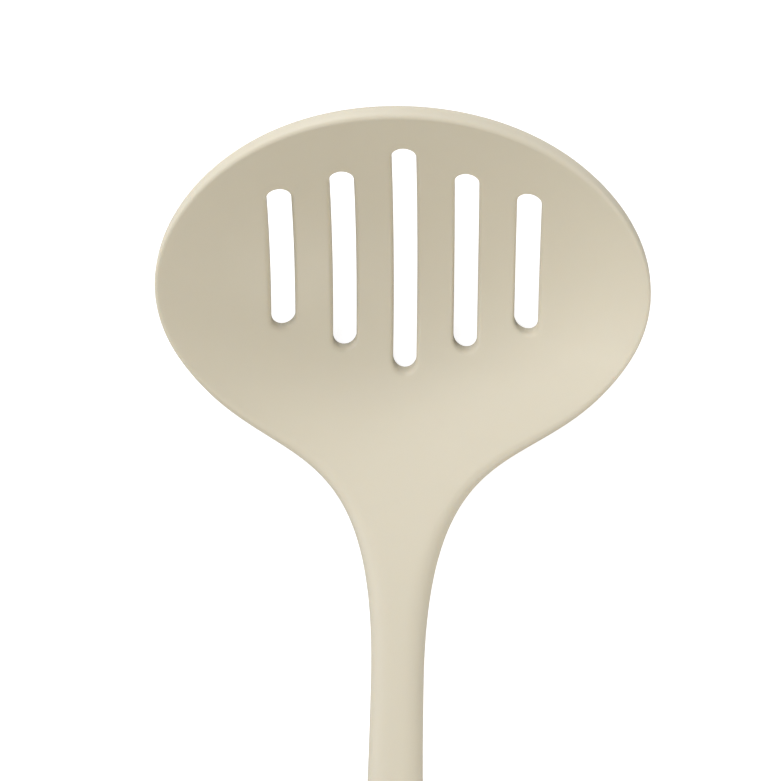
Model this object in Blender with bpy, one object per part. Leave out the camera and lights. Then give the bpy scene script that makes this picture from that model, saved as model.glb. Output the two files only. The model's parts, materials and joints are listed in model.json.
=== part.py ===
"""A slotted skimmer: a silicone skin moulded over a nylon head insert and a steel handle strip.

Metres, +Z up. The skimmer lies on its back on a worktop at z = 0, with the bowl open upwards and
the head towards +Y. The plane x = 0 is its plane of symmetry, and the origin is under the middle
of its length.

A station is a distance along the tool, seen from above, from the centre of the head towards the
end of the handle. Stations towards the tip of the head are negative. Every piece is a loft along
the stations round one middle surface, which is the bowl, the neck and the handle without thickness.
"""

import math

import bmesh
import bpy
from mathutils import Vector
from mathutils.geometry import interpolate_bezier, intersect_point_line

# The whole tool, from the tip of the head to the end of the handle
OVERALL_LENGTH = 0.335

# The head: a bowl raised at the tip, and there narrower than an ellipse by a share. Its length is that of
# the middle surface. The rim has a flat face, upright in each section, with round edges
HEAD_WIDTH = 0.110
HEAD_LENGTH = 0.0824
HEAD_TILT = math.radians(22.0)
TIP_NARROWING = 0.014
BOWL_DEPTH = 0.022
BOWL_THICKNESS = 0.0033
RIM_ROUNDING = 0.0010
DISH_END_STATION = 0.062

# The slots: parallel, the same on both sides of the middle one. Their lengths, and how far their
# centres lie towards the tip, are shares of the head's length, from the middle slot outwards
SLOT_WIDTH = 0.00543
SLOT_PITCH = 0.01389
SLOT_LENGTH_SHARES = (0.740, 0.587, 0.461)
SLOT_SHIFT_SHARES = (0.107, 0.091, 0.088)

# The round of every slot and of the hanging hole where it meets the surface
MOUTH_ROUNDING = 0.0010

# The neck: it climbs out of the bowl, with concave flanks from the head to the narrowest place
FLANK_ANGLE = math.radians(22.6)
FLANK_HEAD_PULL = 0.0363
FLANK_NECK_PULL = 0.0602
NECK_STATION = 0.0909
NECK_WIDTH = 0.0122
NECK_SLOPE = math.radians(12.0)
NECK_THICKNESS = 0.0086
NECK_FULL_STATION = 0.075
NECK_ROUNDING = 0.0045

# The handle: arched, wider towards its end, with a flat on its back that lies on the worktop. Where the
# halves of the mould meet, a narrow land runs along the round edges of the neck and the handle
CREST_STATION = 0.152
CREST_HEIGHT = 0.0213
GRIP_WIDTH = 0.022
GRIP_THICKNESS = 0.011
GRIP_ROUNDING = 0.007
PARTING_LAND = 0.0004
FLARE_LENGTH = 0.160
REST_LENGTH = 0.046
CAP_LENGTH = 0.012

# The hanging hole, with its centre this far from the end of the handle
HOLE_WIDTH = 0.008
HOLE_LENGTH = 0.016
HOLE_INSET = 0.019

# The skin over the insert, at the rim, beside the neck and inside each slot
SKIN_WALL = 0.0008
RIM_SKIN = 0.0045
NECK_SKIN = 0.0013
SLEEVE_WALL = 0.0012

# The steel strip, its tongue in the insert's socket and its eye round the hanging hole
SOCKET_STATION = 0.078
TONGUE_LENGTH = 0.018
STRIP_WIDTH = 0.006
STRIP_THICKNESS = 0.002
EYE_RIM = 0.0022
EYE_FLARE = 0.022

# Holes in the back of the skin, left by the pins that hold the core in its mould
PIN_HOLE_DIAMETER = 0.0026
PIN_HOLE_STATIONS = (0.068, 0.120, 0.200)

# Gap between a piece and its seat
CLEARANCE = 0.0003

# How finely the curves are divided
HEAD_ROWS = 24
FLANK_ROWS = 14
HANDLE_ROWS = 16
CAP_ROWS = 6
ROUND_STEPS = 7
SIDE_SPACING = 0.006
MOUTH_STEPS = 2
MOUTH_ANGLE = math.radians(70.0)
PIN_SIDES = 16
ROUNDING_LIMIT = 0.85
SLOPE_STEP = 0.0001
POLE_WIDTH = 0.000001
MEETING_STEPS = 4
CUTTER_REACH = 0.020
SHARP_ANGLE = math.radians(35.0)

# Columns of a section: in the round of each edge, and from there to the middle
SKIN_COLUMNS = (4, 5)
INSERT_COLUMNS = (2, 3)
STRIP_COLUMNS = (2, 1)

# The last ring of a round mouth lies outside the surface: this much wider and higher than the wall,
# as shares of the rounding
MOUTH_SPREAD = 2.0
MOUTH_OVERRUN = 0.5

# Places that follow from the sizes above. The back of the rim passes the outline where the tip is steep
HEAD_HALF_WIDTH = HEAD_WIDTH / 2
HEAD_HALF_LENGTH = HEAD_LENGTH / 2
BOWL_CURVE = BOWL_DEPTH / HEAD_HALF_LENGTH ** 2
FLOOR_STATION = math.tan(HEAD_TILT) / (2 * BOWL_CURVE)
FLOOR_HEIGHT = BOWL_THICKNESS / 2
TIP_SLOPE = math.atan(2 * BOWL_CURVE * (HEAD_HALF_LENGTH + FLOOR_STATION))
RIM_HALF_FACE = BOWL_THICKNESS / 2 - RIM_ROUNDING
TIP_REACH = RIM_HALF_FACE * math.sin(TIP_SLOPE) + RIM_ROUNDING * (1 - math.cos(TIP_SLOPE))
TIP_STATION = -HEAD_HALF_LENGTH - TIP_REACH
HEAD_CENTRE_Y = OVERALL_LENGTH / 2 + TIP_STATION
END_STATION = OVERALL_LENGTH + TIP_STATION
CAP_STATION = END_STATION - CAP_LENGTH
REST_STATION = END_STATION - REST_LENGTH
HOLE_STATION = END_STATION - HOLE_INSET
HOLE_HALF_STRAIGHT = (HOLE_LENGTH - HOLE_WIDTH) / 2
TONGUE_STATION = SOCKET_STATION - TONGUE_LENGTH
CLIMB_STATION = FLOOR_STATION + math.tan(NECK_SLOPE) / (2 * BOWL_CURVE)
CLIMB_HEIGHT = FLOOR_HEIGHT + BOWL_CURVE * (CLIMB_STATION - FLOOR_STATION) ** 2
REST_HEIGHT = GRIP_THICKNESS / 2
SLEEVE_HALF_WIDTH = SLOT_WIDTH / 2 + SLEEVE_WALL
HOLE_SLEEVE_HALF_WIDTH = HOLE_WIDTH / 2 + SLEEVE_WALL
EYE_RADIUS = HOLE_SLEEVE_HALF_WIDTH + CLEARANCE + EYE_RIM


def ease(value, start, end):
    """Goes smoothly from 0 at start to 1 at end."""
    share = min(max((value - start) / (end - start), 0.0), 1.0)
    return share * share * (3.0 - 2.0 * share)


def spine_height(station):
    """Height of the middle surface on the plane of symmetry: bowl, climbing neck, arch and flat end."""
    if station < CLIMB_STATION:
        return FLOOR_HEIGHT + BOWL_CURVE * (station - FLOOR_STATION) ** 2
    climb_length = CREST_STATION - CLIMB_STATION
    share = min((station - CLIMB_STATION) / climb_length, 1.0)
    start = math.tan(NECK_SLOPE) * climb_length * share * (1.0 - share) ** 2
    rise = (CREST_HEIGHT - CLIMB_HEIGHT) * ease(station, CLIMB_STATION, CREST_STATION)
    fall = (CREST_HEIGHT - REST_HEIGHT) * ease(station, CREST_STATION, REST_STATION)
    return CLIMB_HEIGHT + start + rise - fall


def middle(x, station):
    """Point of the middle surface: the dish of the bowl fades out along the neck."""
    dish = BOWL_DEPTH * (1.0 - ease(station, FLOOR_STATION, DISH_END_STATION))
    height = spine_height(station) + dish * (x / HEAD_HALF_WIDTH) ** 2
    return Vector((x, HEAD_CENTRE_Y - station, height))


def middle_normal(x, station):
    """Upward normal of the middle surface."""
    along = middle(x, station + SLOPE_STEP) - middle(x, station - SLOPE_STEP)
    across = middle(x + SLOPE_STEP, station) - middle(x - SLOPE_STEP, station)
    return along.cross(across).normalized()


def section_upright(station):
    """The way that is up in the section at a station: square to the spine."""
    return middle_normal(0.0, station)


def skin_half_thickness(station):
    """Half of the skin's outer thickness: thin bowl, thicker neck, thickest grip."""
    neck = (NECK_THICKNESS - BOWL_THICKNESS) / 2 * ease(station, FLOOR_STATION, NECK_FULL_STATION)
    grip = (GRIP_THICKNESS - NECK_THICKNESS) / 2 * ease(station, NECK_STATION, REST_STATION)
    return BOWL_THICKNESS / 2 + neck + grip


def skin_rounding(station):
    """How far the round of the skin's edge reaches inwards."""
    neck = (NECK_ROUNDING - RIM_ROUNDING) * ease(station, FLOOR_STATION, NECK_FULL_STATION)
    grip = (GRIP_ROUNDING - NECK_ROUNDING) * ease(station, NECK_STATION, REST_STATION)
    return RIM_ROUNDING + neck + grip


def skin_half_land(station):
    """Half of the height of the flat face on the skin's edge: a broad rim, a narrow land on the neck."""
    neck = (PARTING_LAND / 2 - RIM_HALF_FACE) * ease(station, FLOOR_STATION, NECK_FULL_STATION)
    return RIM_HALF_FACE + neck


def insert_half_thickness(station):
    """The insert fills the bowl and neck, apart from the skin's wall and the clearance."""
    return skin_half_thickness(station) - SKIN_WALL - CLEARANCE


def insert_inset(station):
    """How far the insert's edge lies inside the skin's edge: a soft rim, a thin skin at the neck."""
    return RIM_SKIN + (NECK_SKIN - RIM_SKIN) * ease(station, 0.0, TONGUE_STATION) + CLEARANCE


def head_rows():
    """Stations and half widths of the head, from the tip to where the flank leaves its ellipse."""
    rows = []
    for index in range(HEAD_ROWS + 1):
        angle = -math.pi / 2 + (FLANK_ANGLE + math.pi / 2) * index / HEAD_ROWS
        narrowing = TIP_NARROWING * math.sin(2 * min(angle, 0.0)) ** 2
        half_width = HEAD_HALF_WIDTH * math.cos(angle) * (1.0 - narrowing)
        rows.append((HEAD_HALF_LENGTH * math.sin(angle), half_width))
    return rows


def flank_rows():
    """Stations and half widths of the concave flank, tangent to the ellipse and to the neck."""
    start = Vector((HEAD_HALF_LENGTH * math.sin(FLANK_ANGLE), HEAD_HALF_WIDTH * math.cos(FLANK_ANGLE)))
    tangent = Vector((HEAD_HALF_LENGTH * math.cos(FLANK_ANGLE), -HEAD_HALF_WIDTH * math.sin(FLANK_ANGLE)))
    end = Vector((NECK_STATION, NECK_WIDTH / 2))
    start_pull = start + tangent.normalized() * FLANK_HEAD_PULL
    end_pull = end - Vector((FLANK_NECK_PULL, 0.0))
    points = interpolate_bezier(start, start_pull, end_pull, end, FLANK_ROWS + 1)
    return [(point.x, point.y) for point in points[1:]]


def handle_rows():
    """Stations and half widths of the handle, from the narrowest place to the round end."""
    rows = []
    for index in range(1, HANDLE_ROWS + 1):
        station = NECK_STATION + (CAP_STATION - NECK_STATION) * index / HANDLE_ROWS
        flare = ease(station, NECK_STATION, NECK_STATION + FLARE_LENGTH)
        rows.append((station, NECK_WIDTH / 2 + (GRIP_WIDTH - NECK_WIDTH) / 2 * flare))
    last_half_width = rows[-1][1]
    for index in range(1, CAP_ROWS + 1):
        angle = math.pi / 2 * index / CAP_ROWS
        rows.append((CAP_STATION + CAP_LENGTH * math.sin(angle), last_half_width * math.cos(angle)))
    return rows


def inset_rows(rows, inset):
    """Rows moved inwards, square to the outline, by a distance that depends on the station."""
    moved = []
    for index, (station, half_width) in enumerate(rows[:-1]):
        before = rows[index - 1] if index else (rows[1][0], -rows[1][1])
        after = rows[index + 1]
        tangent = Vector((after[0] - before[0], after[1] - before[1])).normalized()
        distance = inset(station)
        moved.append((station + tangent.y * distance, half_width - tangent.x * distance))
    return moved


def rows_up_to(rows, end):
    """The rows before a station, and one more that lies on it."""
    kept = [row for row in rows if row[0] < end]
    before = kept[-1]
    after = rows[len(kept)]
    share = (end - before[0]) / (after[0] - before[0])
    kept.append((end, before[1] + (after[1] - before[1]) * share))
    return kept


def insert_rows(growth):
    """Outline of the head insert, or of its cavity where growth is the clearance."""
    outline = head_rows() + flank_rows()
    rows = inset_rows(outline, lambda station: insert_inset(station) - growth)
    return rows_up_to(rows, SOCKET_STATION + growth)


def strip_rows(growth):
    """Outline of the handle strip, or of its cavity where growth is the clearance."""
    eye_start = HOLE_STATION - HOLE_HALF_STRAIGHT
    eye_end = HOLE_STATION + HOLE_HALF_STRAIGHT
    start = TONGUE_STATION - growth
    rows = []
    for index in range(HANDLE_ROWS + 1):
        station = start + (eye_start - EYE_FLARE - start) * index / HANDLE_ROWS
        rows.append((station, STRIP_WIDTH / 2 + growth))
    for index in range(1, CAP_ROWS + 1):
        station = eye_start - EYE_FLARE + EYE_FLARE * index / CAP_ROWS
        flare = ease(station, eye_start - EYE_FLARE, eye_start)
        rows.append((station, STRIP_WIDTH / 2 + (EYE_RADIUS - STRIP_WIDTH / 2) * flare + growth))
    for index in range(CAP_ROWS + 1):
        angle = math.pi / 2 * index / CAP_ROWS
        radius = EYE_RADIUS + growth
        rows.append((eye_end + radius * math.sin(angle), radius * math.cos(angle)))
    return rows


def edge_distance(x, station, rows):
    """Distance, seen from above, from a point to the nearest edge of an outline."""
    point = Vector((station, abs(x), 0.0))
    nearest = HEAD_WIDTH
    for before, after in zip(rows, rows[1:]):
        start = Vector((before[0], before[1], 0.0))
        end = Vector((after[0], after[1], 0.0))
        foot, share = intersect_point_line(point, start, end)
        if share < 0.0:
            foot = start
        elif share > 1.0:
            foot = end
        nearest = min(nearest, (point - foot).length)
    return nearest


def rounded_share(distance, rounding):
    """Share of the full thickness at a distance from a round edge."""
    if distance >= rounding:
        return 1.0
    return math.sqrt(max(1.0 - (1.0 - distance / rounding) ** 2, 0.0))


def column_places(half_width, reach, edge_columns, flat_columns):
    """Places across one section, close together in the round of each edge."""
    side = []
    for index in range(edge_columns):
        angle = math.pi / 2 * index / edge_columns
        side.append(half_width - reach * (1.0 - math.cos(angle)))
    for index in range(flat_columns):
        side.append((half_width - reach) * (1.0 - index / flat_columns))
    return [-place for place in side] + [0.0] + side[::-1]


def add_pair(mesh, x, station, level):
    """Front and back vertex at a level over and under a place, or a single one where the level is 0."""
    centre = middle(x, station)
    if level == 0.0:
        edge = mesh.verts.new(centre)
        return edge, edge
    upright = section_upright(station)
    offset = upright * (level / upright.dot(middle_normal(x, station)))
    return mesh.verts.new(centre + offset), mesh.verts.new(centre - offset)


def add_section(mesh, rows, row, half_thickness, half_land, rounding, columns):
    """Vertices of one section: the front from left to right, and the back likewise."""
    station, half_width = row
    land = half_land(station)
    if half_width < POLE_WIDTH:
        front_pole, back_pole = add_pair(mesh, 0.0, station, land)
        return [front_pole], [back_pole]
    reach = min(rounding(station), half_width * ROUNDING_LIMIT)
    places = column_places(half_width, reach, *columns)
    pairs = []
    for place in places:
        share = 0.0
        if place not in (places[0], places[-1]):
            normal = middle_normal(place, station)
            stretch = normal.dot(section_upright(station)) / normal.z
            share = rounded_share(edge_distance(place, station, rows) * stretch, reach)
        pairs.append(add_pair(mesh, place, station, land + (half_thickness(station) - land) * share))
    return [pair[0] for pair in pairs], [pair[1] for pair in pairs]


def join_sections(mesh, first, second):
    """Faces between two lines of vertices, of which one may be a single pole."""
    count = max(len(first), len(second))
    for index in range(count - 1):
        corners = []
        for line in (first, second):
            pair = line[index:index + 2] if len(line) > 1 else line
            corners.extend(pair if line is first else pair[::-1])
        mesh.faces.new(corners)


def join_edges(mesh, section, next_section):
    """Flat faces between the front and the back along both edges, where those don't meet."""
    (front, back), (next_front, next_back) = section, next_section
    for end in (0, -1):
        if front[end] != back[end]:
            mesh.faces.new((front[end], next_front[end], next_back[end], back[end]))


def mesh_object(name, mesh, material=None):
    """Object made from an editing mesh, with its faces pointing out."""
    bmesh.ops.recalc_face_normals(mesh, faces=mesh.faces)
    data = bpy.data.meshes.new(name)
    mesh.to_mesh(data)
    mesh.free()
    data.shade_smooth()
    data.set_sharp_from_angle(angle=SHARP_ANGLE)
    if material:
        data.materials.append(material)
    result = bpy.data.objects.new(name, data)
    bpy.context.scene.collection.objects.link(result)
    return result


def no_land(station):
    """Half of the height of the flat face on the edge of a piece of the core, which is round."""
    return 0.0


def loft(name, rows, half_thickness, half_land, rounding, columns, material=None):
    """Closed solid round the middle surface, lofted through one section for each row."""
    mesh = bmesh.new()
    sections = [add_section(mesh, rows, row, half_thickness, half_land, rounding, columns) for row in rows]
    for section, next_section in zip(sections, sections[1:]):
        join_sections(mesh, section[0], next_section[0])
        join_sections(mesh, section[1], next_section[1])
        join_edges(mesh, section, next_section)
    for front, back in (sections[0], sections[-1]):
        if len(front) > 1:
            mesh.faces.new(front + back[-2:0:-1])
    return mesh_object(name, mesh, material)


def mark_cutter(cutter):
    """A cutter shows as wires and is no piece of the tool."""
    cutter.hide_render = True
    cutter.display_type = 'WIRE'
    return cutter


def round_ended_outline(half_width, half_straight, side_steps):
    """Places across and along a bar with round ends, once round it."""
    places = []
    for end in (1.0, -1.0):
        for index in range(ROUND_STEPS + 1):
            angle = math.pi * index / ROUND_STEPS
            across = half_width * math.cos(angle)
            along = half_straight + half_width * math.sin(angle)
            places.append((end * across, end * along))
        for index in range(1, side_steps):
            along = half_straight * (1.0 - 2.0 * index / side_steps)
            places.append((-end * half_width, end * along))
    return places


def mouth_rings(half_thickness):
    """Growth and level of the rings that round both mouths of an opening, from back to front."""
    front = []
    for index in range(MOUTH_STEPS + 1):
        angle = MOUTH_ANGLE * index / MOUTH_STEPS
        growth = MOUTH_ROUNDING * (1.0 - math.cos(angle))
        level = half_thickness - MOUTH_ROUNDING * (1.0 - math.sin(angle))
        front.append((growth, level))
    front.append((MOUTH_ROUNDING * MOUTH_SPREAD, half_thickness + MOUTH_ROUNDING * MOUTH_OVERRUN))
    back = [(growth, -level) for growth, level in reversed(front)]
    return back + front


def surface_point(start, through, level):
    """Where a line from a point meets the surface that lies at a level above the middle surface."""
    point = start
    for _ in range(MEETING_STEPS):
        station = HEAD_CENTRE_Y - point.y
        normal = middle_normal(point.x, station)
        gap = (middle(point.x, station) - point).dot(normal) + level
        point = point + through * (gap / normal.dot(through))
    return point


def round_ended_cutter(name, x, station, half_width, half_straight, lean, rings=()):
    """Bar with round ends that leans from the vertical; its rings follow the middle surface."""
    centre = middle(x, station)
    along = Vector((0.0, math.cos(lean), math.sin(lean)))
    through = Vector((0.0, -math.sin(lean), math.cos(lean)))
    side_steps = max(round(2 * half_straight / SIDE_SPACING), 1) if rings else 1

    def outline(growth):
        places = round_ended_outline(half_width + growth, half_straight, side_steps)
        return [centre + Vector((side, 0.0, 0.0)) + along * place for side, place in places]

    widest = outline(rings[-1][0] if rings else 0.0)
    lines = [[point - through * CUTTER_REACH for point in widest]]
    for growth, level in rings:
        lines.append([surface_point(point, through, level) for point in outline(growth)])
    lines.append([point + through * CUTTER_REACH for point in widest])
    mesh = bmesh.new()
    loops = [[mesh.verts.new(point) for point in line] for line in lines]
    for first, second in zip(loops, loops[1:]):
        for index in range(len(first)):
            mesh.faces.new((first[index - 1], first[index], second[index], second[index - 1]))
    mesh.faces.new(loops[0])
    mesh.faces.new(loops[-1])
    return mark_cutter(mesh_object(name, mesh))


def pin_hole_cutter(name, station):
    """Upright pin from below the back of the skin to the middle of the core."""
    top = middle(0.0, station)
    depth = 2 * skin_half_thickness(station)
    mesh = bmesh.new()
    bmesh.ops.create_cone(
        mesh,
        cap_ends=True,
        segments=PIN_SIDES,
        radius1=PIN_HOLE_DIAMETER / 2,
        radius2=PIN_HOLE_DIAMETER / 2,
        depth=depth,
    )
    bmesh.ops.translate(mesh, verts=mesh.verts, vec=top - Vector((0.0, 0.0, depth / 2)))
    return mark_cutter(mesh_object(name, mesh))


def cut(target, cutter):
    """Takes the cutter's volume out of the target."""
    modifier = target.modifiers.new(cutter.name, 'BOOLEAN')
    modifier.operation = 'DIFFERENCE'
    modifier.solver = 'EXACT'
    modifier.object = cutter


def slot_cutters(name, half_width, rings=()):
    """The pattern of slots, as wide as asked, with the same centre lines each time."""
    cutters = []
    outermost = len(SLOT_LENGTH_SHARES) - 1
    for steps_out in range(-outermost, outermost + 1):
        length = HEAD_LENGTH * SLOT_LENGTH_SHARES[abs(steps_out)]
        station = -HEAD_LENGTH * SLOT_SHIFT_SHARES[abs(steps_out)]
        half_straight = (length - SLOT_WIDTH) / 2
        cutter_name = f"{name}_{steps_out + outermost + 1}"
        x = SLOT_PITCH * steps_out
        cutters.append(
            round_ended_cutter(cutter_name, x, station, half_width, half_straight, HEAD_TILT, rings))
    return cutters


def hole_cutter(name, half_width, rings=()):
    """The hanging hole, as wide as asked, with the same centre line each time."""
    return round_ended_cutter(name, 0.0, HOLE_STATION, half_width, HOLE_HALF_STRAIGHT, 0.0, rings)


def insert_solid(name, growth, material=None):
    """The insert without its slots and socket, or its cavity where growth is the clearance."""
    return loft(
        name,
        insert_rows(growth),
        lambda station: insert_half_thickness(station) + growth,
        no_land,
        lambda station: insert_half_thickness(station) + growth,
        INSERT_COLUMNS,
        material,
    )


def strip_solid(name, growth, material=None):
    """The strip without its eye, or its cavity where growth is the clearance."""
    return loft(
        name,
        strip_rows(growth),
        lambda station: STRIP_THICKNESS / 2 + growth,
        no_land,
        lambda station: STRIP_THICKNESS / 2 + growth,
        STRIP_COLUMNS,
        material,
    )


def build_head_insert(strip_cavity):
    """Nylon insert: slots wide enough for the skin's sleeves, and a socket for the tongue."""
    nylon = plain_material("glass_filled_nylon", (0.30, 0.29, 0.27, 1.0), 0.55, 0.0)
    insert = insert_solid("head_insert", 0.0, nylon)
    for cutter in slot_cutters("insert_slot", SLEEVE_HALF_WIDTH + CLEARANCE):
        cut(insert, cutter)
    cut(insert, strip_cavity)


def build_handle_strip():
    """Steel strip, bent along the neck and handle, with an eye for the hanging hole."""
    steel = plain_material("stainless_steel", (0.60, 0.60, 0.60, 1.0), 0.35, 1.0)
    strip = strip_solid("handle_strip", 0.0, steel)
    cut(strip, hole_cutter("strip_eye", HOLE_SLEEVE_HALF_WIDTH + CLEARANCE))


def build_silicone_skin(strip_cavity):
    """Silicone skin: the whole outside, moulded round the insert and the strip."""
    silicone = plain_material("cream_silicone", (0.66, 0.60, 0.48, 1.0), 0.55, 0.0)
    outline = head_rows() + flank_rows() + handle_rows()
    skin = loft(
        "silicone_skin",
        outline,
        skin_half_thickness,
        skin_half_land,
        skin_rounding,
        SKIN_COLUMNS,
        silicone,
    )
    insert_cavity = mark_cutter(insert_solid("insert_cavity", CLEARANCE))
    for cutter in slot_cutters("slot_sleeve", SLEEVE_HALF_WIDTH):
        cut(insert_cavity, cutter)
    cut(strip_cavity, hole_cutter("hole_sleeve", HOLE_SLEEVE_HALF_WIDTH))
    cut(skin, insert_cavity)
    cut(skin, strip_cavity)
    for cutter in slot_cutters("slot", SLOT_WIDTH / 2, mouth_rings(BOWL_THICKNESS / 2)):
        cut(skin, cutter)
    cut(skin, hole_cutter("hanging_hole", HOLE_WIDTH / 2, mouth_rings(GRIP_THICKNESS / 2)))
    for index, station in enumerate(PIN_HOLE_STATIONS):
        cut(skin, pin_hole_cutter(f"pin_hole_{index + 1}", station))


def plain_material(name, colour, roughness, metallic):
    """Material with one colour and finish."""
    material = bpy.data.materials.new(name)
    material.use_nodes = True
    shader = material.node_tree.nodes["Principled BSDF"]
    shader.inputs["Base Color"].default_value = colour
    shader.inputs["Roughness"].default_value = roughness
    shader.inputs["Metallic"].default_value = metallic
    return material


def main():
    """Builds the skimmer in an empty scene."""
    for item in list(bpy.data.objects):
        bpy.data.objects.remove(item)
    strip_cavity = mark_cutter(strip_solid("strip_cavity", CLEARANCE))
    build_head_insert(strip_cavity)
    build_handle_strip()
    build_silicone_skin(strip_cavity)


main()
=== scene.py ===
"""The look of the slotted skimmer: its silicone skin, the core inside it, the light and the camera.

Metres, +Z up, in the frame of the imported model. The skimmer lies on its back with the bowl open
upwards and the head towards +Y. A station is a distance along the tool, seen from above, from the
centre of the head towards the end of the handle.

The skin starts as a flat sheet, cut to the outline of the tool, with its slots and its hanging hole.
A Geometry Nodes tree raises the sheet to the middle of the bowl, neck and handle, gives it a front
and a back with round edges, walls the rim and the openings and drills the pin marks.
"""

import json
import math

import bmesh
import bpy
from mathutils import Euler, Matrix, Vector
from mathutils.geometry import delaunay_2d_cdt, interpolate_bezier
from mathutils.kdtree import KDTree

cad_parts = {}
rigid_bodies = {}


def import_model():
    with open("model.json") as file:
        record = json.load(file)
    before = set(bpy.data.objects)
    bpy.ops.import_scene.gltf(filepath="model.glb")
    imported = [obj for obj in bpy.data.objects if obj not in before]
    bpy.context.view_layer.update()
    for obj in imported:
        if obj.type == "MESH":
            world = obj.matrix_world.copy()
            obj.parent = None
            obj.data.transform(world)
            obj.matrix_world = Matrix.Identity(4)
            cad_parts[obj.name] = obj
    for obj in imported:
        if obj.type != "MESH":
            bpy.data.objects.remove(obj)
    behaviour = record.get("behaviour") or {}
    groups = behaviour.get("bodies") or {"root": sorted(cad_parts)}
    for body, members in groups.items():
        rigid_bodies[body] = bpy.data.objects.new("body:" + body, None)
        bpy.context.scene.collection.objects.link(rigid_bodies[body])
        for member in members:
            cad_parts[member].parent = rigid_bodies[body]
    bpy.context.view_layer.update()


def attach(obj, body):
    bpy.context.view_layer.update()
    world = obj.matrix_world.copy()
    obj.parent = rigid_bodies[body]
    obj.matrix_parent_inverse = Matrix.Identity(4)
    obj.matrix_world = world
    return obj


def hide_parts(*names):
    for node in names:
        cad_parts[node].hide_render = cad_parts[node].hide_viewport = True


for leftover in list(bpy.data.objects):
    bpy.data.objects.remove(leftover)

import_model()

# The tool's own sizes
OVERALL_LENGTH = 0.335
HEAD_WIDTH = 0.110
HEAD_LENGTH = 0.0824
HEAD_TILT = math.radians(22.0)
TIP_NARROWING = 0.014
BOWL_DEPTH = 0.022
BOWL_THICKNESS = 0.0033
RIM_ROUNDING = 0.0010
DISH_END_STATION = 0.062
SLOT_WIDTH = 0.00543
SLOT_PITCH = 0.01389
SLOT_LENGTH_SHARES = (0.740, 0.587, 0.461)
SLOT_SHIFT_SHARES = (0.107, 0.091, 0.088)
MOUTH_ROUNDING = 0.0010
FLANK_ANGLE = math.radians(22.6)
FLANK_HEAD_PULL = 0.0363
FLANK_NECK_PULL = 0.0602
NECK_STATION = 0.0909
NECK_WIDTH = 0.0122
NECK_SLOPE = math.radians(12.0)
NECK_THICKNESS = 0.0086
NECK_FULL_STATION = 0.075
NECK_ROUNDING = 0.0045
CREST_STATION = 0.152
CREST_HEIGHT = 0.0213
GRIP_WIDTH = 0.022
GRIP_THICKNESS = 0.011
GRIP_ROUNDING = 0.007
PARTING_LAND = 0.0004
FLARE_LENGTH = 0.160
REST_LENGTH = 0.046
CAP_LENGTH = 0.012
HOLE_WIDTH = 0.008
HOLE_LENGTH = 0.016
HOLE_INSET = 0.019
PIN_HOLE_DIAMETER = 0.0026
PIN_HOLE_STATIONS = (0.068, 0.120, 0.200)

# Places that follow from the sizes. The back of the rim passes the outline where the tip is steep
HEAD_HALF_WIDTH = HEAD_WIDTH / 2
HEAD_HALF_LENGTH = HEAD_LENGTH / 2
BOWL_CURVE = BOWL_DEPTH / HEAD_HALF_LENGTH ** 2
DISH_CURVE = BOWL_DEPTH / HEAD_HALF_WIDTH ** 2
FLOOR_STATION = math.tan(HEAD_TILT) / (2 * BOWL_CURVE)
FLOOR_HEIGHT = BOWL_THICKNESS / 2
TIP_SLOPE = math.atan(2 * BOWL_CURVE * (HEAD_HALF_LENGTH + FLOOR_STATION))
RIM_HALF_FACE = BOWL_THICKNESS / 2 - RIM_ROUNDING
TIP_REACH = RIM_HALF_FACE * math.sin(TIP_SLOPE) + RIM_ROUNDING * (1 - math.cos(TIP_SLOPE))
TIP_STATION = -HEAD_HALF_LENGTH - TIP_REACH
HEAD_CENTRE_Y = OVERALL_LENGTH / 2 + TIP_STATION
END_STATION = OVERALL_LENGTH + TIP_STATION
CAP_STATION = END_STATION - CAP_LENGTH
REST_STATION = END_STATION - REST_LENGTH
HOLE_STATION = END_STATION - HOLE_INSET
CLIMB_STATION = FLOOR_STATION + math.tan(NECK_SLOPE) / (2 * BOWL_CURVE)
CLIMB_HEIGHT = FLOOR_HEIGHT + BOWL_CURVE * (CLIMB_STATION - FLOOR_STATION) ** 2
CLIMB_LENGTH = CREST_STATION - CLIMB_STATION
REST_HEIGHT = GRIP_THICKNESS / 2

# Distances from the outline between which the skin's thickness turns from upright in the section to the
# draw of the mould
RIM_BAND = (0.0020, 0.0045)

# How finely the skin is divided
CURVE_STEPS = 240
RIM_SPACING = 0.0010
MOUTH_SPACING = 0.0006
FILL_SPACING = 0.0012
FILL_MARGIN = 0.0008
ROUND_RINGS = 7
RIM_RING_REACH = 0.95
MEETING_STEPS = 5
SLOPE_STEP = 0.0001
PIN_SIDES = 40
PIN_DEPTH_SHARE = 1.4
ONLY_INSIDE = 1
SAME_POINT = 1e-8
SHORTEST_STEP = 1e-9
MERGE_DISTANCE = 0.000005
SHARP_ANGLE = math.radians(40.0)

# The values between which most of a noise lies
NOISE_SPREAD = (0.3, 0.7)

# The camera of the photograph, which is 781 pixels high
PHOTO_HEIGHT = 781
PIXELS_PER_METRE = 4380.0
CAMERA_DISTANCE = 0.650
CAMERA_SHIFT = (-0.003444, -0.024842)
CAMERA_AIM_HEIGHT = 0.008
CAMERA_ROLL = math.radians(-0.906)
CAMERA_PITCH = math.radians(9.342)
CAMERA_YAW = math.radians(-2.188)
CAMERA_REACH = (0.01, 20.0)

# The worktop and the surroundings: white where they are seen, and plainer in the light that they give
FLOOR_HALF_SIZE = 3.0
FLOOR_GAP = 0.0001
FLOOR_GREY = (0.45, 0.45, 0.45, 1.0)
SEEN_FLOOR_GREY = (0.35, 0.35, 0.35, 1.0)
SEEN_FLOOR_GLOW = 0.9
WORLD_STRENGTH = 0.15
SEEN_WORLD_STRENGTH = 1.0
WHITE = (1.0, 1.0, 1.0, 1.0)

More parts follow.
